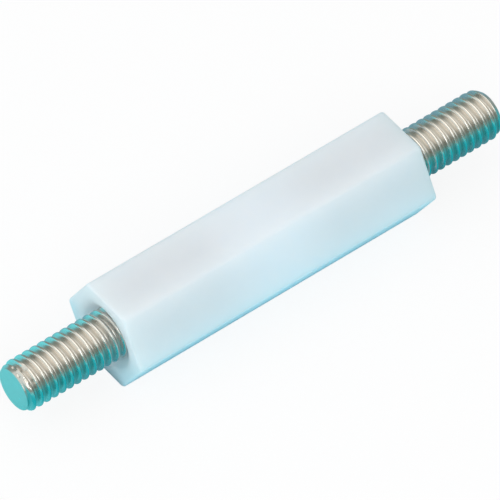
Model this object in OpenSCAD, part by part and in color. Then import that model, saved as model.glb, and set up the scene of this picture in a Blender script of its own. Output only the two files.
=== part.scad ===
// Hex standoff: an insulating nylon bar with a steel screw stud out of each end.
// Millimetres. The axis runs along X, and the bar lies on one of its six flats on Z = 0.

/* [Hex body] */

// Distance across two opposite flats of the bar
hex_af = 5.5; // [5:0.1:8]
// Length of the bar between its end faces
body_len = 20; // [18:1:60]
// Radius of the six long edges
edge_r = 0.15; // [0.05:0.05:0.4]
// How far in the six corners of each end face are broken, at 45 degrees
corner_break = 0.1; // [0.05:0.05:0.3]

/* [Screw thread] */

// Nominal diameter of the thread
thread_d = 3; // [2.5:0.5:4]
// Pitch of the thread
thread_pitch = 0.5; // [0.35:0.05:0.7]
// How far the crests stay under the nominal diameter, for tolerance and plating
crest_allow = 0.06; // [0.02:0.01:0.12]

/* [Studs] */

// Length of each stud outside the bar
stud_out = 6; // [4:0.5:20]
// Length of each stud held in the bar
stud_in = 6; // [4:0.5:7]
// Length of the chamfer at the tip of a stud
tip_len = 0.4; // [0.2:0.05:0.8]

/* [Holes in the body] */

// Gap round the buried core of a stud, none where the thread is tight
seat_gap = 0; // [0:0.01:0.05]
// Depth of the hole past the end of the stud
tap_runout = 0.8; // [0.4:0.1:1]
// Point angle of the drill
drill_angle = 118; // [90:2:140]
// Width of the countersunk ring round the thread at the mouth
mouth_ring = 0.55; // [0.2:0.05:0.6]
// Included angle of the countersink
mouth_angle = 90; // [82:1:120]

/* [Hidden] */

$fn = 72;

// Metric thread: crests, the flat that the tip's chamfer leaves, and the tapping drill
crest_r = (thread_d - crest_allow) / 2;
tip_r = (thread_d - 1.0825 * thread_pitch) / 2;
hole_r = (thread_d - thread_pitch) / 2;

core_r = hole_r - seat_gap;
hole_depth = stud_in + tap_runout;
point_h = hole_r / tan(drill_angle / 2);
mouth_r = thread_d / 2 + mouth_ring;
mouth_h = (mouth_r - hole_r) / tan(mouth_angle / 2);

// centres and outer reach of the edge rounds
edge_c = (hex_af / 2 - edge_r) / cos(30);
corner_r = edge_c + edge_r;

// How far cuts run past what they cut
eps = 0.1;
// How far the edge rounds stand past the flats, so that the two cross cleanly
hair = 0.0005;

// Section of the bar, with flats square to the second axis
module hex_section() {
    intersection() {
        circle(r = hex_af / 2 / cos(30), $fn = 6);
        for (i = [0:5])
            rotate(60 * i) {
                translate([edge_c, 0])
                    circle(r = edge_r + hair);
                rotate(30)
                    square([2 * hex_af, edge_c], center = true);
            }
    }
}

// The bar standing on its lower end, with the corners of both end faces broken
module bar() {
    intersection() {
        linear_extrude(height = body_len)
            hex_section();
        rotate_extrude()
            polygon([
                [0, 0],
                [corner_r - corner_break, 0],
                [corner_r + eps, corner_break + eps],
                [corner_r + eps, body_len - corner_break - eps],
                [corner_r - corner_break, body_len],
                [0, body_len]
            ]);
    }
}

// What is cut out of one end: countersink, tapped hole and drill point, from the end face inwards
module hole_cut() {
    rotate_extrude()
        polygon([
            [0, eps],
            [mouth_r, eps],
            [mouth_r, 0],
            [hole_r, -mouth_h],
            [hole_r, -hole_depth],
            [0, -hole_depth - point_h]
        ]);
}

// One stud: Z = 0 is the end face of the bar. The thread is drawn as its crests outside the bar,
// and as the core that fills the tapped hole inside it.
module stud() {
    rotate_extrude()
        polygon([
            [0, -stud_in],
            [core_r, -stud_in],
            [core_r, 0],
            [crest_r, 0],
            [crest_r, stud_out - tip_len],
            [tip_r, stud_out],
            [0, stud_out]
        ]);
}

// Takes what stands on an end face, pointing up, to the end on that side: -1 left, 1 right
module at_end(side) {
    translate([side * body_len / 2, 0, hex_af / 2])
        rotate([0, side * 90, 0])
            children();
}

module hex_body() {
    color([0.93, 0.94, 0.93])
        difference() {
            translate([-body_len / 2, 0, hex_af / 2])
                rotate([90, 0, 90])
                    bar();
            at_end(-1)
                hole_cut();
            at_end(1)
                hole_cut();
        }
}

module stud_left() {
    color([0.72, 0.71, 0.68])
        at_end(-1)
            stud();
}

module stud_right() {
    color([0.72, 0.71, 0.68])
        at_end(1)
            stud();
}

hex_body();
stud_left();
stud_right();
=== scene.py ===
"""Looks of a hex standoff: a satin nylon bar lying on a flat, with a threaded steel stud out of each end."""

import math

import bpy
import numpy as np
from bpy.props import FloatProperty, FloatVectorProperty, PointerProperty
from mathutils import Matrix, Vector


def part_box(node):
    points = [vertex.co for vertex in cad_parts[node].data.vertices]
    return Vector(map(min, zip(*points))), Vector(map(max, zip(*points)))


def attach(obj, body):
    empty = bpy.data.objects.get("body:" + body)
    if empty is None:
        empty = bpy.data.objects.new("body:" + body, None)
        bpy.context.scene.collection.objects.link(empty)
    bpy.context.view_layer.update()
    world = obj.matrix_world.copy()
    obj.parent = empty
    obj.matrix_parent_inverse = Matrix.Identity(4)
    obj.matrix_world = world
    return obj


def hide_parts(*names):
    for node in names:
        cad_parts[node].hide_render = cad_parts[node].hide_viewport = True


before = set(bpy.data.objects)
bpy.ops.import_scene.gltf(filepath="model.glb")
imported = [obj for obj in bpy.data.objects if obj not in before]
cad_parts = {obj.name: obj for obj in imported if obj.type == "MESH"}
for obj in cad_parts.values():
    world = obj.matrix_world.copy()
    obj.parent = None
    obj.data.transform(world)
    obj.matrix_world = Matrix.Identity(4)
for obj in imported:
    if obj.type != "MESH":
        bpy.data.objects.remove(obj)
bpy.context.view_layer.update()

bl_info = {
    "name": "Hex Standoff",
    "version": (1, 0, 0),
    "blender": (4, 5, 0),
    "location": "View3D > Sidebar > Standoff",
    "description": "Builds a nylon hex standoff with two threaded steel studs, and a plain studio round it",
    "category": "Object",
}

MM = 0.001
TURN = 2 * math.pi

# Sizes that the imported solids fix, in millimetres
BAR_LOW, BAR_HIGH = (np.array(corner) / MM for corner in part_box("hex_body"))
STUD_LOW, STUD_HIGH = (np.array(corner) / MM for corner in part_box("stud_right"))
BAR_HALF = BAR_HIGH[0]
FLATS = BAR_HIGH[2] - BAR_LOW[2]
AXIS_Z = FLATS / 2
STUD_OUT = STUD_HIGH[0] - BAR_HALF
STUD_IN = BAR_HALF - STUD_LOW[0]
CREST_R = STUD_HIGH[1]

# Slopes of a drill point of 118 degrees and of the flanks of a thread of 60 degrees
DRILL_SLOPE = math.tan(math.radians(59))
FLANK_SLOPE = math.tan(math.radians(30))

# Share of the mouth's depth past which a thread runs out into the plain core
RUN_OUT = 0.7

# Millimetres of the bar to one unit of its UV map
UV_SIDE = 20

# Spacing of the turning marks on the bar's ends, in mm, and how far short of an end face they fade in
MARK_SPACING = 0.11
END_FADE = (0.06, 0.01)

# How far above the thread's root and below its crest the painted shade in the groove fades out, in mm
GROOVE_SHADE_FADE = (0.03, 0.04)

# Half the side of the floor, in metres
FLOOR_HALF = 3

# Places, in millimetres, between which one mirrored colour of the ground gives way to the next: in X at the
# painted light round the left tip, and in Y in front and far in front, at the edges of the painted shadow in
# front of the part
LEFT_LIGHT_FADE = (-17, -10)
FRONT_SHADOW_FADE = (-4, 1.5)
FAR_SHADOW_FADE = (-40, -6)

# The way up to the middle of the mirrored ceiling, in X and Z, and the cosines between which it fades in
CEILING_WAY = (0.41, 0.912)
CEILING_FADE = (0.55, 1.0)

# Dents at the left tip: how far out from the end face and how long, in mm, and at what turn about the axis
# and how wide, in degrees
TIP_DENTS = (
    (5.76, 0.07, 103, 6),
    (5.56, 0.06, 93, 8),
    (5.34, 0.07, 85, 6),
    (5.84, 0.07, 79, 5),
    (5.62, 0.07, 47, 7),
    (5.70, 0.05, 62, 4),
)

# Distances from the axis, in mm, between which the dents fade in
DENT_FADE = (0.9, 1.1)

# Each lamp's name, place and side in millimetres, the setting that gives its power, and its colour
LAMPS = (
    ("window", (-150, -260, 260), 200, "window_power", (0.97, 0.99, 1.0)),
    ("panel_aside", (-300, 60, 160), 440, "aside_power", (0.97, 0.99, 1.0)),
)


# ---------------------------------------------------------------- sizes and colours


class BarSettings(bpy.types.PropertyGroup):
    """Sizes and finish of the nylon bar."""

    edge_radius: FloatProperty(
        name="Long edges", description="Radius of the six long edges, in mm", default=0.35, min=0.02, max=0.5
    )
    end_radius: FloatProperty(
        name="End edges", description="Radius round both end faces, in mm", default=0.14, min=0.01, max=0.3
    )
    mouth_radius: FloatProperty(
        name="Mouth", description="Radius of the countersunk mouths at the end faces, in mm", default=2.05,
        min=1.8, max=2.2,
    )
    mouth_angle: FloatProperty(
        name="Mouth angle", description="Included angle of the countersinks", subtype="ANGLE",
        default=math.radians(90), min=math.radians(82), max=math.radians(120),
    )
    lip_radius: FloatProperty(
        name="Mouth edge", description="Radius round the mouths' edges, in mm", default=0.5,
        min=0.01, max=0.6,
    )
    gap: FloatProperty(
        name="Gap", description="Gap between the nylon and the studs, in mm", default=0.006,
        min=0.004, max=0.05,
    )
    hole_depth: FloatProperty(
        name="Hole depth", description="Depth of the tapped holes to the drill's shoulder, in mm",
        default=6.8, min=6.1, max=8,
    )
    colour: FloatVectorProperty(
        name="Nylon", description="Colour of the nylon", subtype="COLOR", size=3,
        default=(0.795, 0.843, 0.89),
    )
    cloud_colour: FloatVectorProperty(
        name="Cloud", description="Colour of the faint clouds in the nylon", subtype="COLOR", size=3,
        default=(0.775, 0.833, 0.885),
    )
    roughness: FloatProperty(
        name="Roughness", description="Roughness of the nylon", subtype="FACTOR", default=0.50,
        min=0, max=1,
    )
    glow_depth: FloatProperty(
        name="Glow depth", description="How far light travels in the nylon", unit="LENGTH", default=0.004,
        min=0, max=0.01,
    )


class StudSettings(bpy.types.PropertyGroup):
    """Sizes and finish of the two steel studs."""

    pitch: FloatProperty(
        name="Pitch", description="Pitch of the thread, in mm", default=0.5, min=0.35, max=0.6
    )
    root_radius: FloatProperty(
        name="Root", description="Radius at the bottom of the groove, in mm", default=1.193, min=1.1, max=1.3
    )
    root_round: FloatProperty(
        name="Root rounding", description="Width over which the groove's corners are rounded, in mm",
        default=0.09, min=0.01, max=0.15,
    )
    crest_width: FloatProperty(
        name="Crest width", description="Flat top of the thread, in mm", default=0.10, min=0.02, max=0.15
    )
    crest_round: FloatProperty(
        name="Crest rounding", description="Width over which the crest's corners are rounded, in mm",
        default=0.045, min=0.01, max=0.1,
    )
    core_radius: FloatProperty(
        name="Core", description="Radius of the buried part of a stud, in mm", default=1.25, min=1.2, max=1.3
    )
    tip_radius: FloatProperty(
        name="Tip", description="Radius of the flat at the tip, in mm", default=1.2295, min=1, max=1.4
    )
    tip_length: FloatProperty(
        name="Tip chamfer", description="Length of the chamfer, in mm", default=0.4, min=0.1, max=1
    )
    tip_edge: FloatProperty(
        name="Tip edge", description="Radius round the flat at the tip, in mm", default=0.03,
        min=0.01, max=0.1,
    )
    dent_depth: FloatProperty(
        name="Dents", description="Depth of the dents at the left tip, in mm", default=0.08, min=0, max=0.15
    )
    start: FloatProperty(
        name="Start", description="Where the crest crosses a stud's side, in pitches out from the end face",
        default=0.32, min=0, max=1,
    )
    colour: FloatVectorProperty(
        name="Plating", description="Colour of the plated steel", subtype="COLOR", size=3,
        default=(0.66, 0.63, 0.59),
    )
    # painted shade: the plating is coloured darker at the bottom of the groove
    root_shade_colour: FloatVectorProperty(
        name="Root colour", description="Colour at the bottom of the groove", subtype="COLOR", size=3,
        default=(0.58, 0.555, 0.52),
    )
    roughness: FloatProperty(
        name="Roughness", description="Roughness of the plating", subtype="FACTOR", default=0.21,
        min=0, max=1,
    )


class StageSettings(bpy.types.PropertyGroup):
    """Camera, light and floor."""

    azimuth: FloatProperty(
        name="Azimuth", description="Camera's turn", subtype="ANGLE", default=math.radians(-39.22)
    )
    elevation: FloatProperty(
        name="Elevation", description="Camera's height", subtype="ANGLE", default=math.radians(49.45)
    )
    roll: FloatProperty(
        name="Roll", description="Camera's roll", subtype="ANGLE", default=math.radians(1.35)
    )
    distance: FloatProperty(
        name="Distance", description="Camera's distance", unit="LENGTH", default=0.4732, min=0.1, max=5
    )
    lens: FloatProperty(
        name="Lens", description="Focal length on a 36 mm sensor, in mm", default=641.7, min=20, max=2000
    )
    aside: FloatVectorProperty(
        name="Aside", description="How far right and up of the camera's aim the part's centre is, in mm",
        size=2, default=(0.199, 0.084),
    )
    floor_colour: FloatVectorProperty(
        name="Floor", description="The floor's colour", subtype="COLOR", size=3, default=(0.97, 0.975, 0.98)
    )
    ground_tint: FloatVectorProperty(
        name="Ground tint", description="What the nylon gathers from the ground", subtype="COLOR", size=3,
        default=(0.30, 0.80, 0.94),
    )
    ground_mirror: FloatVectorProperty(
        name="Ground mirror", description="What the steel mirrors of the ground behind", subtype="COLOR",
        size=3, default=(0.26, 0.53, 0.65),
    )
    # painted light: the ground mirrored round the left tip is lighter, above white
    left_mirror_light: FloatVectorProperty(
        name="Left mirror", description="What the steel mirrors of the ground at the left tip",
        subtype="COLOR", size=3, default=(0.23, 1.035, 1.15),
    )
    # painted shadow: the ground mirrored in front is darker, where the part's shadow falls
    front_mirror_shadow: FloatVectorProperty(
        name="Front mirror", description="What the steel mirrors of the ground in front", subtype="COLOR",
        size=3, default=(0.018, 0.62, 0.73),
    )
    far_mirror: FloatVectorProperty(
        name="Far mirror", description="What the steel mirrors of the ground far in front", subtype="COLOR",
        size=3, default=(0.18, 0.98, 1.0),
    )
    floor_lift: FloatProperty(
        name="Floor lift", description="Share of plain white in the floor, which thins the shadow",
        subtype="FACTOR", default=0.85, min=0, max=1,
    )
    room_colour: FloatVectorProperty(
        name="Room", description="The room that the steel mirrors", subtype="COLOR", size=3,
        default=(0.31, 0.365, 0.325),
    )
    ceiling_colour: FloatVectorProperty(
        name="Ceiling", description="The pale ceiling that the steel mirrors", subtype="COLOR", size=3,
        default=(1.92, 1.87, 1.73),
    )
    room_light: FloatVectorProperty(
        name="Room light", description="The even light that the room sheds on the part", subtype="COLOR",
        size=3, default=(0.70, 0.70, 0.70),
    )
    window_power: FloatProperty(
        name="Window", description="Panel high in front", unit="POWER", default=0.38, min=0, max=5
    )
    aside_power: FloatProperty(
        name="Aside", description="Panel high behind the left end", unit="POWER", default=0.45, min=0, max=5
    )


# ---------------------------------------------------------------- meshes


def smooth_step(low, high, value):
    """0 under low, 1 over high, and an S curve between."""
    t = np.clip((value - low) / (high - low), 0, 1)
    return t * t * (3 - 2 * t)


def soft_min(a, b, width):
    """The lower of two values, with the corner between them rounded over the given width."""
    near = np.clip(width - np.abs(a - b), 0, None) / width
    return np.minimum(a, b) - near * near * width / 4


def soft_max(a, b, width):
    """The higher of two values, rounded as soft_min rounds."""
    return -soft_min(-a, -b, width)


def make_piece(name, points, groups, uv, material, node, slot):
    """A piece in place of one CAD node, from points in mm, groups of faces and a UV pair for each point."""
    mesh = bpy.data.meshes.new(name)
    faces = [face for group in groups for face in group.tolist()]
    mesh.from_pydata((points * MM).tolist(), [], faces)
    mesh.polygons.foreach_set("use_smooth", np.ones(len(mesh.polygons), bool))
    corners = np.zeros(len(mesh.loops), np.int32)
    mesh.loops.foreach_get("vertex_index", corners)
    mesh.uv_layers.new(name="run").data.foreach_set("uv", uv[corners].ravel().astype(np.float32))
    mesh.materials.append(material)
    mesh.update()
    piece = bpy.data.objects.new(name, mesh)
    bpy.context.scene.collection.objects.link(piece)
    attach(piece, "root")
    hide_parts(node)
    return piece


def ring_faces(first, second):
    """Quads between two closed rings of point numbers."""
    return np.stack([first, np.roll(first, -1), np.roll(second, -1), second], axis=-1)


def fan_faces(ring, pole):
    """Triangles from a closed ring to one point."""
    return np.stack([ring, np.roll(ring, -1), np.full_like(ring, pole)], axis=-1)


def hexagon_outline(edge_radius, arc_steps=8, flat_steps=16):
    """Outline and outward normals of a hexagon with rounded corners, as (points, normals).

    Each corner is an arc of edge_radius about its centre, which lies on the corner's ray at
    (half the flats - radius) / cos 30. Each flat runs straight between two arcs, at even steps of angle
    about the axis.
    """
    reach = (AXIS_Z - edge_radius) / math.cos(math.pi / 6)
    corner = np.arange(6)[:, None] * (math.pi / 3)
    turn = corner + np.linspace(-math.pi / 6, math.pi / 6, arc_steps + 1)[None, :]
    arc_normal = np.stack([np.cos(turn), np.sin(turn)], axis=-1)
    centre = reach * np.stack([np.cos(corner), np.sin(corner)], axis=-1)
    arc = centre + edge_radius * arc_normal
    half = math.atan2(reach * math.sin(math.pi / 6), AXIS_Z)
    sideways = AXIS_Z * np.tan(np.linspace(half, -half, flat_steps + 1)[1:-1])[None, :, None]
    out = arc_normal[:, -1:]
    across = np.stack([out[..., 1], -out[..., 0]], axis=-1)
    flat = AXIS_Z * out + sideways * across
    flat_normal = np.repeat(out, flat_steps - 1, axis=1)
    points = np.concatenate([arc, flat], axis=1).reshape(-1, 2)
    normals = np.concatenate([arc_normal, flat_normal], axis=1).reshape(-1, 2)
    return points, normals


def mouth_depth(bar, core_radius):
    """Depth at which the mouth's cone has narrowed to the stud's plain core."""
    return (bar.mouth_radius - core_radius) / math.tan(bar.mouth_angle / 2)


def thread_radius(s, bar, along, turn):
    """Radius of a stud at a place along its axis, in mm out from the end face, and a turn in radians.

    The thread's section is a V groove of 60 degrees cut off by the crest and the root, with both corners
    rounded, and it advances one pitch a turn. The tip's cone cuts it down. Inside the mouth the thread stays
    under the countersink's cone, and at its bottom it runs out into the plain core that fills the hole.
    """
    phase = along / s.pitch - turn / TURN - s.start
    from_crest = np.abs(phase - np.round(phase)) * s.pitch
    flank = CREST_R - (from_crest - s.crest_width / 2) / FLANK_SLOPE
    thread = soft_min(soft_max(flank, s.root_radius, s.root_round), CREST_R, s.crest_round)
    tip_cone = s.tip_radius + (STUD_OUT - along) * (CREST_R - s.tip_radius) / s.tip_length
    thread = soft_min(thread, tip_cone, s.crest_round)
    deep = mouth_depth(bar, s.core_radius)
    mouth_cone = s.core_radius + np.clip(deep + along, 0, None) * math.tan(bar.mouth_angle / 2)
    filled = smooth_step(deep * RUN_OUT, deep, -along)
    return np.minimum(thread + (s.core_radius - thread) * filled, mouth_cone)


def bar_half(s, core_radius, arc_rings=7, near=0.03):
    """One half of the bar, from its middle out over the end face and down the hole.

    Gives (x, inset, radius, share): each ring is the hexagon moved in by its inset, then drawn by its share
    towards a circle of its radius. The sides run straight, the end's edge is a quarter round, the end face
    goes from the hexagon to the mouth, the mouth's edge is an arc, and the countersink, the hole and the
    drill point are circles. A ring stands near mm off both ends of the hole's wall and keeps its corners
    crisp.
    """
    side_share = np.array([0, 0.1, 0.2, 0.35, 0.5, 0.65, 0.8, 0.9, 0.96, 0.985, 0.995, 1])
    side_x = (BAR_HALF - s.end_radius) * side_share
    quarter = np.linspace(0, math.pi / 2, arc_rings)[1:]
    edge_x = BAR_HALF - s.end_radius * (1 - np.sin(quarter))
    edge_inset = s.end_radius * (1 - np.cos(quarter))
    face_share = np.array([0.03, 0.15, 0.35, 0.6, 0.85, 0.97])

    fall = math.pi / 2 - s.mouth_angle / 2
    arc = np.linspace(0, fall, arc_rings)
    lip_r = s.mouth_radius + s.lip_radius * (math.tan(fall / 2) - np.sin(arc))
    lip_depth = s.lip_radius * (1 - np.cos(arc))
    hole = core_radius + s.gap
    cone_share = np.array([0.97, 0.8, 0.6, 0.4, 0.2, 0.03, 0])
    cone_r = hole + (lip_r[-1] - hole) * cone_share
    cone_depth = (s.mouth_radius - cone_r) / math.tan(s.mouth_angle / 2)
    wall_depth = np.array([cone_depth[-1] + near, 1.5, 4, s.hole_depth - near, s.hole_depth])
    point_share = np.array([0.97, 0.5, 0.1])
    point_depth = s.hole_depth + hole * (1 - point_share) / DRILL_SLOPE
    bore_r = np.concatenate([lip_r, cone_r, np.full(len(wall_depth), hole), hole * point_share])
    bore_x = BAR_HALF - np.concatenate([lip_depth, cone_depth, wall_depth, point_depth])

    mouth = lip_r[0]
    stretches = (
        (side_x, 0, mouth, 0),
        (edge_x, edge_inset, mouth, 0),
        (BAR_HALF, s.end_radius, mouth, face_share),
        (bore_x, s.end_radius, bore_r, 1),
    )
    columns = zip(*(np.broadcast_arrays(*stretch) for stretch in stretches))
    return [np.concatenate(column) for column in columns]


def bar_surface(s, core_radius):
    """The bar as rings from the left hole's point, over the outside, to the right hole's point.

    A ring's point is the outline's, moved in along its normal by the ring's inset, and then drawn by the
    ring's share towards the point of the circle in the same direction.
    """
    outline, normals = hexagon_outline(s.edge_radius)
    circle = outline / np.linalg.norm(outline, axis=1, keepdims=True)
    x, inset, radius, share = (np.concatenate([half[:0:-1], half]) for half in bar_half(s, core_radius))
    x[: len(x) // 2] *= -1
    moved = outline - inset[:, None, None] * normals
    rings = moved + share[:, None, None] * (radius[:, None, None] * circle - moved)
    count, columns = rings.shape[:2]
    grid = np.concatenate([np.broadcast_to(x[:, None, None], (count, columns, 1)), rings], axis=-1)
    point = BAR_HALF - s.hole_depth - (core_radius + s.gap) / DRILL_SLOPE
    points = np.concatenate([grid.reshape(-1, 3), [[-point, 0, 0], [point, 0, 0]]]) + (0, 0, AXIS_Z)
    number = np.arange(count * columns).reshape(count, columns)
    left, right = count * columns, count * columns + 1
    faces = [ring_faces(a, b) for a, b in zip(number, number[1:])]
    faces += [fan_faces(number[0], left)[:, ::-1], fan_faces(number[-1], right)]
    return points, faces, points[:, :2] / UV_SIDE


def helix_faces(columns, rows, rows_per_pitch, first, last):
    """Faces of a threaded grid from its first to its last row in each column, as (quads, triangles).

    The last column meets the first one rows_per_pitch further on. Rows past a column's ends are drawn in to
    its end, so a face there is a triangle or nothing.
    """

    def number(column, index):
        """Point number at a column and a row."""
        wrapped = column // columns
        column = column % columns
        index = index + wrapped * rows_per_pitch
        return column * rows + np.clip(index, first[column], last[column])

    column, index = np.meshgrid(np.arange(columns), np.arange(-rows_per_pitch, rows - 1), indexing="ij")
    near = [number(column, index), number(column, index + 1)]
    far = [number(column + 1, index + 1), number(column + 1, index)]
    corners = np.stack(near + far, axis=-1).reshape(-1, 4)
    near_flat = corners[:, 0] == corners[:, 1]
    far_flat = corners[:, 3] == corners[:, 2]
    quads = corners[~near_flat & ~far_flat]
    at_near, at_far = corners[near_flat & ~far_flat][:, 1:], corners[far_flat & ~near_flat][:, :3]
    return quads[:, ::-1], np.concatenate([at_near, at_far])[:, ::-1]


def cap_rings(s, turn, tip_r, base_r):
    """Rings that close a stud past its threaded length, as (points, how many of the rings are at the tip).

    The tip's edge is a quarter round from tip_r that runs into the flat disc. The buried length is a plain
    core from base_r to its flat end.
    """
    quarter = np.array([math.pi / 6, math.pi / 3, math.pi / 2])
    disc_share = np.array([0.75, 0.4, 0.1])
    core_share = np.array([1.0, 0.5])
    edge_x = STUD_OUT - s.tip_edge + s.tip_edge * np.sin(quarter)
    x = np.concatenate([edge_x, np.full(len(disc_share), STUD_OUT), np.full(len(core_share), -STUD_IN)])
    radius = np.concatenate(
        [
            tip_r[None] - s.tip_edge * (1 - np.cos(quarter))[:, None],
            (tip_r - s.tip_edge)[None] * disc_share[:, None],
            base_r[None] * core_share[:, None],
        ]
    )
    x = np.broadcast_to(x[:, None], radius.shape)
    rings = np.stack([x, radius * np.cos(turn), radius * np.sin(turn)], axis=-1)
    return rings, len(quarter) + len(disc_share)


def stud_surface(s, bar, columns=144, rows_per_pitch=22):
    """One stud along its own axis, as (points, groups of faces, uv), from its buried end to its tip.

    The threaded length is a grid whose rows follow the helix: a row rises one pitch in a turn, so it closes
    on the row rows_per_pitch further on. The grid is cut square at both ends, where each column stops at the
    first row past the end, and plain rings close it. The UV map holds the share of a turn, and the place
    along the axis less the thread's rise, in mm.
    """
    low, high = -mouth_depth(bar, s.core_radius), STUD_OUT - s.tip_edge
    step = s.pitch / rows_per_pitch
    rows = int(round((high - low) / step)) + rows_per_pitch + 2
    turn = np.arange(columns) * TURN / columns
    along = low - s.pitch + np.arange(rows)[None, :] * step + s.pitch * turn[:, None] / TURN
    # a row this close to an end is moved onto it, so that no sliver is left
    snap = step * 0.25
    first = np.argmax(along > low + snap, axis=1) - 1
    last = np.argmax(along > high - snap, axis=1)
    column = np.arange(columns)
    along[column, first] = low
    along[column, last] = high
    along = np.clip(along, low, high)
    radius = thread_radius(s, bar, along, turn[:, None])
    y, z = radius * np.cos(turn)[:, None], radius * np.sin(turn)[:, None]
    grid = np.stack([along, y, z], axis=-1).reshape(-1, 3)
    rings, tip_count = cap_rings(s, turn, radius[column, last], radius[column, first])
    poles = np.array([[STUD_OUT, 0, 0], [-STUD_IN, 0, 0]])
    points = np.concatenate([grid, rings.reshape(-1, 3), poles])

    ring_number = len(grid) + np.arange(rings[..., 0].size).reshape(rings.shape[:2])
    tip_pole, base_pole = len(points) - 2, len(points) - 1
    faces = list(helix_faces(columns, rows, rows_per_pitch, first, last))
    outward = [column * rows + last, *ring_number[:tip_count]]
    faces += [ring_faces(a, b) for a, b in zip(outward, outward[1:])]
    faces.append(fan_faces(outward[-1], tip_pole))
    inward = [column * rows + first, *ring_number[tip_count:]]
    faces += [ring_faces(a, b)[:, ::-1] for a, b in zip(inward, inward[1:])]
    faces.append(fan_faces(inward[-1], base_pole)[:, ::-1])

    share = turn[:, None] / TURN
    grid_uv = np.stack([np.broadcast_to(share, along.shape), along - s.pitch * share], axis=-1)
    ring_uv = np.stack([np.broadcast_to(turn / TURN, rings.shape[:2]), rings[..., 0]], axis=-1)
    pole_uv = np.array([[0.5, STUD_OUT], [0.5, -STUD_IN]])
    uv = np.concatenate([grid_uv.reshape(-1, 2), ring_uv.reshape(-1, 2), pole_uv])

    used = np.unique(np.concatenate([group.ravel() for group in faces]))
    renumber = np.zeros(len(points), int)
    renumber[used] = np.arange(len(used))
    return points[used], [renumber[group] for group in faces], uv[used]


def dented(points, depth):
    """A stud's points, with the dents at its tip pressed in towards the axis.

    A dent is a bell curve both along the axis and round it, and no point goes in by more than depth.
    """
    x, y, z = points.T
    turn = np.degrees(np.arctan2(z, y))
    radius = np.hypot(y, z)
    pressed = np.zeros(len(points))
    for place, length, centre, width in TIP_DENTS:
        pressed += np.exp(-(((x - place) / length) ** 2) - ((turn - centre) / width) ** 2)
    inward = depth * np.minimum(pressed, 1) / np.maximum(radius, DENT_FADE[0])
    kept = 1 - inward * smooth_step(*DENT_FADE, radius)
    return np.stack([x, y * kept, z * kept], axis=-1)


# ---------------------------------------------------------------- materials


class Value:
    """A number that varies over a surface: arithmetic on it adds Math nodes to its material."""

    def __init__(self, build, socket):
        self.build = build
        self.socket = socket

    def math(self, operation, *others):
        """The value put through one Math node, with any further inputs."""
        node = self.build.node("ShaderNodeMath", {"operation": operation}, [self, *others])
        return Value(self.build, node.outputs[0])

    def __add__(self, other):
        return self.math("ADD", other)

    def __mul__(self, other):
        return self.math("MULTIPLY", other)

    def __sub__(self, other):
        return self.math("SUBTRACT", other)

    def __rsub__(self, other):
        return self * -1 + other

    __radd__ = __add__
    __rmul__ = __mul__

    def stepped(self, low, high):
        """0 under low, 1 over high, and an S curve between."""
        node = self.build.node(
            "ShaderNodeMapRange", {"interpolation_type": "SMOOTHSTEP"},
            {"Value": self, "From Min": low, "From Max": high},
        )
        return Value(self.build, node.outputs["Result"])


class Finish:
    """Builds the nodes of one material or world."""

    def __init__(self, owner):
        self.owner = owner
        self.owner.use_nodes = True
        self.tree = owner.node_tree
        self.tree.nodes.clear()

    def node(self, kind, settings=None, sockets=None):
        """Adds a node: its settings first, then its sockets, by name or in order, as values or links."""
        node = self.tree.nodes.new(kind)
        for key, value in (settings or {}).items():
            setattr(node, key, value)
        pairs = sockets.items() if isinstance(sockets, dict) else enumerate(sockets or [])
        for key, value in pairs:
            if isinstance(value, Value):
                value = value.socket
            if isinstance(value, bpy.types.NodeSocket):
                self.tree.links.new(value, node.inputs[key])
            else:
                node.inputs[key].default_value = value
        return node

    def place(self):
        """Object coordinates in millimetres, and the same split in three."""
        where = self.node("ShaderNodeTexCoord").outputs["Object"]
        in_mm = self.stretched(where, (1 / MM, 1 / MM, 1 / MM))
        split = self.node("ShaderNodeSeparateXYZ", None, [in_mm])
        return in_mm, [Value(self, out) for out in split.outputs]

    def stretched(self, vector, factors):
        """A vector with each part multiplied by its own factor."""
        node = self.node("ShaderNodeVectorMath", {"operation": "MULTIPLY"}, [vector, factors])
        return node.outputs[0]

    def noise(self, vector, scale, detail):
        """Noise from 0 to 1."""
        node = self.node("ShaderNodeTexNoise", None, {"Vector": vector, "Scale": scale, "Detail": detail})
        return Value(self, node.outputs[0])

    def blend(self, factor, first, second):
        """A colour between two, by a factor."""
        node = self.node("ShaderNodeMix", {"data_type": "RGBA"}, {0: factor})
        # a Mix node keeps its two colours in sockets 6 and 7, and the mixed one in output 2
        for index, colour in ((6, first), (7, second)):
            if isinstance(colour, bpy.types.NodeSocket):
                self.tree.links.new(colour, node.inputs[index])
            else:
                node.inputs[index].default_value = (*colour, 1)
        return node.outputs[2]

    def bump(self, height, depth, normal=None):
        """A normal from a height of 0 to 1 that stands depth metres high."""
        sockets = {"Strength": 1.0, "Distance": depth, "Height": height}
        if normal is not None:
            sockets["Normal"] = normal
        return self.node("ShaderNodeBump", None, sockets).outputs[0]

    def done(self, shader, output="ShaderNodeOutputMaterial"):
        """Joins the finished shader to the output, and returns the material or world."""
        self.node(output, None, {"Surface": shader})
        return self.owner


def from_axis(y, z):
    """How far a point is from the standoff's axis, in millimetres."""
    up = z - AXIS_Z
    return (y * y + up * up).math("SQRT")


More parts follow.
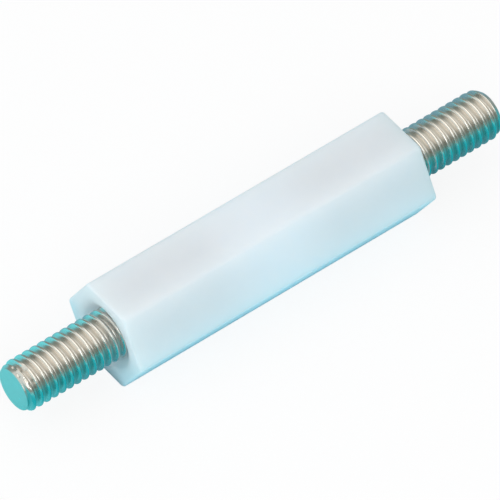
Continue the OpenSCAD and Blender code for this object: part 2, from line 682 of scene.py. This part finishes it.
def nylon(s):
    """Satin nylon: faint clouds, drawing lines along the bar, a fine grain and turning marks on the ends."""
    f = Finish(bpy.data.materials.new("nylon"))
    where, (x, y, z) = f.place()
    cloud = f.noise(where, scale=0.45, detail=3.0).stepped(0.3, 0.7)
    lines = f.noise(f.stretched(where, (0.05, 4.0, 4.0)), scale=3.0, detail=3.0)
    grain = f.noise(where, scale=14.0, detail=2.0)
    on_end = x.math("ABSOLUTE").stepped(BAR_HALF - END_FADE[0], BAR_HALF - END_FADE[1])
    marks = (from_axis(y, z) * (TURN / MARK_SPACING)).math("SINE") * 0.5 + 0.5
    colour = f.blend(cloud, s.colour, s.cloud_colour)
    normal = f.bump(grain, depth=1.6e-6)
    normal = f.bump(lines * (1 - on_end), depth=2.2e-6, normal=normal)
    normal = f.bump(marks * on_end, depth=1.5e-6, normal=normal)
    rough = (grain - 0.5) * 0.10 + (cloud - 0.5) * 0.05 + on_end * 0.08 + s.roughness
    shader = f.node(
        "ShaderNodeBsdfPrincipled", None,
        {
            "Base Color": colour,
            "Roughness": rough,
            "IOR": 1.53,
            "Subsurface Weight": 1.0,
            "Subsurface Radius": (1.0, 0.95, 0.9),
            "Subsurface Scale": s.glow_depth,
            "Normal": normal,
        },
    )
    return f.done(shader.outputs[0])


def plated_steel(s):
    """Plated steel: duller down in the groove and darker there with painted shade, with rolling marks that
    run with the thread.
    """
    f = Finish(bpy.data.materials.new("plated_steel"))
    where, (_, y, z) = f.place()
    run = f.node("ShaderNodeUVMap", {"uv_map": "run"}).outputs[0]
    rolled = f.noise(f.stretched(run, (3.0, 60.0, 1.0)), scale=1.0, detail=3.0)
    patches = f.noise(where, scale=2.2, detail=3.0)
    grain = f.noise(where, scale=30.0, detail=2.0)
    # painted shade: the plating is coloured darker from the crest down to the root of the groove
    high = from_axis(y, z).stepped(s.root_radius + GROOVE_SHADE_FADE[0], CREST_R - GROOVE_SHADE_FADE[1])
    colour = f.blend(high, s.root_shade_colour, s.colour)
    rough = s.roughness + (1 - high) * 0.12 + (patches - 0.5) * 0.24 + (rolled - 0.5) * 0.16
    normal = f.bump(rolled, depth=3.5e-6)
    normal = f.bump(grain, depth=0.5e-6, normal=normal)
    shader = f.node(
        "ShaderNodeBsdfPrincipled", None,
        {"Base Color": colour, "Metallic": 1.0, "Roughness": rough, "Normal": normal},
    )
    return f.done(shader.outputs[0])


# ---------------------------------------------------------------- stage


def by_ray(f, seen, mirrored, lit):
    """A colour that the camera sees, one that gloss and glass see, and one that lights the rest."""
    rays = f.node("ShaderNodeLightPath").outputs
    gloss = Value(f, rays["Is Glossy Ray"]).math("MAXIMUM", rays["Is Transmission Ray"])
    inner = f.blend(gloss, lit, mirrored)
    return f.blend(rays["Is Camera Ray"], inner, seen)


def floor_material(s):
    """A pale matt floor. The camera sees it near white, and the part mirrors and gathers its tint. What the
    part mirrors is painted: a painted shadow darkens the ground in front, and painted light brightens it
    round the left tip.
    """
    f = Finish(bpy.data.materials.new("floor"))
    rays = f.node("ShaderNodeLightPath").outputs
    seen = rays["Is Camera Ray"]
    x, y = f.place()[1][:2]
    # painted reflection: the mirrored ground is lighter round the left tip and darker in front of the part,
    # as painted light and painted shadow
    rear = f.blend(x.stepped(*LEFT_LIGHT_FADE), s.left_mirror_light, s.ground_mirror)
    front = f.blend(y.stepped(*FAR_SHADOW_FADE), s.far_mirror, s.front_mirror_shadow)
    mirror = f.blend(y.stepped(*FRONT_SHADOW_FADE), front, rear)
    tint = f.blend(rays["Is Glossy Ray"], s.ground_tint, mirror)
    tinted = f.node("ShaderNodeBsdfDiffuse", None, {"Color": tint})
    matt = f.node("ShaderNodeBsdfDiffuse", None, {"Color": (*s.floor_colour, 1)})
    lift = f.node("ShaderNodeEmission", None, {"Color": (1, 1, 1, 1), "Strength": 1.0})
    pale = f.node("ShaderNodeMixShader", None, [s.floor_lift, matt.outputs[0], lift.outputs[0]])
    both = f.node("ShaderNodeMixShader", None, [seen, tinted.outputs[0], pale.outputs[0]])
    return f.done(both.outputs[0])


def add_lamp(name, place, side, power, colour):
    """A soft square lamp at a place in mm, turned towards the part's centre."""
    data = bpy.data.lights.new(name, "AREA")
    data.shape = "SQUARE"
    data.size = side * MM
    data.energy = power
    data.color = colour
    lamp = bpy.data.objects.new(name, data)
    lamp.location = Vector(place) * MM
    lamp.rotation_mode = "QUATERNION"
    lamp.rotation_quaternion = (Vector((0, 0, AXIS_Z)) - Vector(place)).to_track_quat("-Z", "Y")
    bpy.context.scene.collection.objects.link(lamp)


def add_camera(s):
    """The camera: back from the part's centre at its azimuth and elevation, then aside in its own view."""
    back = Vector(
        (
            math.sin(s.azimuth) * math.cos(s.elevation),
            -math.cos(s.azimuth) * math.cos(s.elevation),
            math.sin(s.elevation),
        )
    )
    level = Vector((math.cos(s.azimuth), math.sin(s.azimuth), 0))
    upright = back.cross(level)
    right = math.cos(s.roll) * level + math.sin(s.roll) * upright
    up = math.cos(s.roll) * upright - math.sin(s.roll) * level
    data = bpy.data.cameras.new("camera")
    data.sensor_width = 36
    data.lens = s.lens
    data.clip_start, data.clip_end = 0.01, 20
    camera = bpy.data.objects.new("camera", data)
    centre = Vector((0, 0, AXIS_Z * MM))
    place = centre + back * s.distance - right * s.aside[0] * MM - up * s.aside[1] * MM
    turn = Matrix((right, up, back)).transposed().to_4x4()
    camera.matrix_world = Matrix.Translation(place) @ turn
    bpy.context.scene.collection.objects.link(camera)
    bpy.context.scene.camera = camera


def add_floor(s):
    """A flat square floor on Z = 0."""
    mesh = bpy.data.meshes.new("floor")
    corners = [(x * FLOOR_HALF, y * FLOOR_HALF, 0) for x, y in ((-1, -1), (1, -1), (1, 1), (-1, 1))]
    mesh.from_pydata(corners, [], [(0, 1, 2, 3)])
    mesh.materials.append(floor_material(s))
    floor = bpy.data.objects.new("floor", mesh)
    bpy.context.scene.collection.objects.link(floor)


def set_world(s):
    """White to the camera, an even light on the part, and for the steel to mirror a dim room, pale above."""
    f = Finish(bpy.data.worlds.new("studio"))
    way = f.node("ShaderNodeSeparateXYZ", None, [f.node("ShaderNodeTexCoord").outputs["Generated"]]).outputs
    along, upward = Value(f, way[0]), Value(f, way[2])
    overhead = (along * CEILING_WAY[0] + upward * CEILING_WAY[1]).stepped(*CEILING_FADE)
    mirrored = f.blend(overhead, s.room_colour, s.ceiling_colour)
    colour = by_ray(f, (1, 1, 1), mirrored, s.room_light)
    ground = f.node("ShaderNodeBackground", None, {"Color": colour, "Strength": 1.0})
    bpy.context.scene.world = f.done(ground.outputs[0], "ShaderNodeOutputWorld")


# ---------------------------------------------------------------- operators


class STANDOFF_OT_bar(bpy.types.Operator):
    """Makes the nylon bar"""

    bl_idname = "standoff.bar"
    bl_label = "Make the bar"

    def execute(self, context):
        s = context.scene.standoff_bar
        shape = bar_surface(s, context.scene.standoff_studs.core_radius)
        make_piece("nylon_bar", *shape, nylon(s), "hex_body", "nylon")
        return {"FINISHED"}


class STANDOFF_OT_studs(bpy.types.Operator):
    """Makes both threaded studs"""

    bl_idname = "standoff.studs"
    bl_label = "Make the studs"

    def execute(self, context):
        s = context.scene.standoff_studs
        steel = plated_steel(s)
        points, faces, uv = stud_surface(s, context.scene.standoff_bar)
        shapes = ((1, "stud_right", points), (-1, "stud_left", dented(points, s.dent_depth)))
        for side, node, shape in shapes:
            # the left stud is the right one turned half round the upright, so both threads are right-handed
            placed = shape * (side, side, 1) + (side * BAR_HALF, 0, AXIS_Z)
            make_piece(f"threaded_{node}", placed, faces, uv, steel, node, "plated_steel")
        return {"FINISHED"}


class STANDOFF_OT_stage(bpy.types.Operator):
    """Makes the camera, the lamps and the floor"""

    bl_idname = "standoff.stage"
    bl_label = "Make the stage"

    def execute(self, context):
        s = context.scene.standoff_stage
        add_camera(s)
        add_floor(s)
        set_world(s)
        for name, place, side, power, colour in LAMPS:
            add_lamp(name, place, side, getattr(s, power), colour)
        context.scene.view_settings.view_transform = "Standard"
        return {"FINISHED"}


class STANDOFF_PT_panel(bpy.types.Panel):
    """The standoff's steps, in the 3D view's sidebar"""

    bl_idname = "STANDOFF_PT_panel"
    bl_label = "Hex Standoff"
    bl_space_type = "VIEW_3D"
    bl_region_type = "UI"
    bl_category = "Standoff"

    def draw(self, context):
        """Each step's settings over its button."""
        for name, operator in STEPS:
            box = self.layout.box()
            settings = getattr(context.scene, name)
            for key in settings.__annotations__:
                box.prop(settings, key)
            box.operator(operator)


STEPS = (
    ("standoff_stage", "standoff.stage"),
    ("standoff_bar", "standoff.bar"),
    ("standoff_studs", "standoff.studs"),
)
SETTINGS = {"standoff_bar": BarSettings, "standoff_studs": StudSettings, "standoff_stage": StageSettings}
CLASSES = (
    BarSettings,
    StudSettings,
    StageSettings,
    STANDOFF_OT_bar,
    STANDOFF_OT_studs,
    STANDOFF_OT_stage,
    STANDOFF_PT_panel,
)


def register():
    for cls in CLASSES:
        bpy.utils.register_class(cls)
    for name, group in SETTINGS.items():
        setattr(bpy.types.Scene, name, PointerProperty(type=group))


def unregister():
    for name in SETTINGS:
        delattr(bpy.types.Scene, name)
    for cls in reversed(CLASSES):
        bpy.utils.unregister_class(cls)


def main():
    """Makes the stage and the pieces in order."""
    register()
    bpy.ops.standoff.stage()
    bpy.ops.standoff.bar()
    bpy.ops.standoff.studs()


if __name__ == "__main__":
    main()
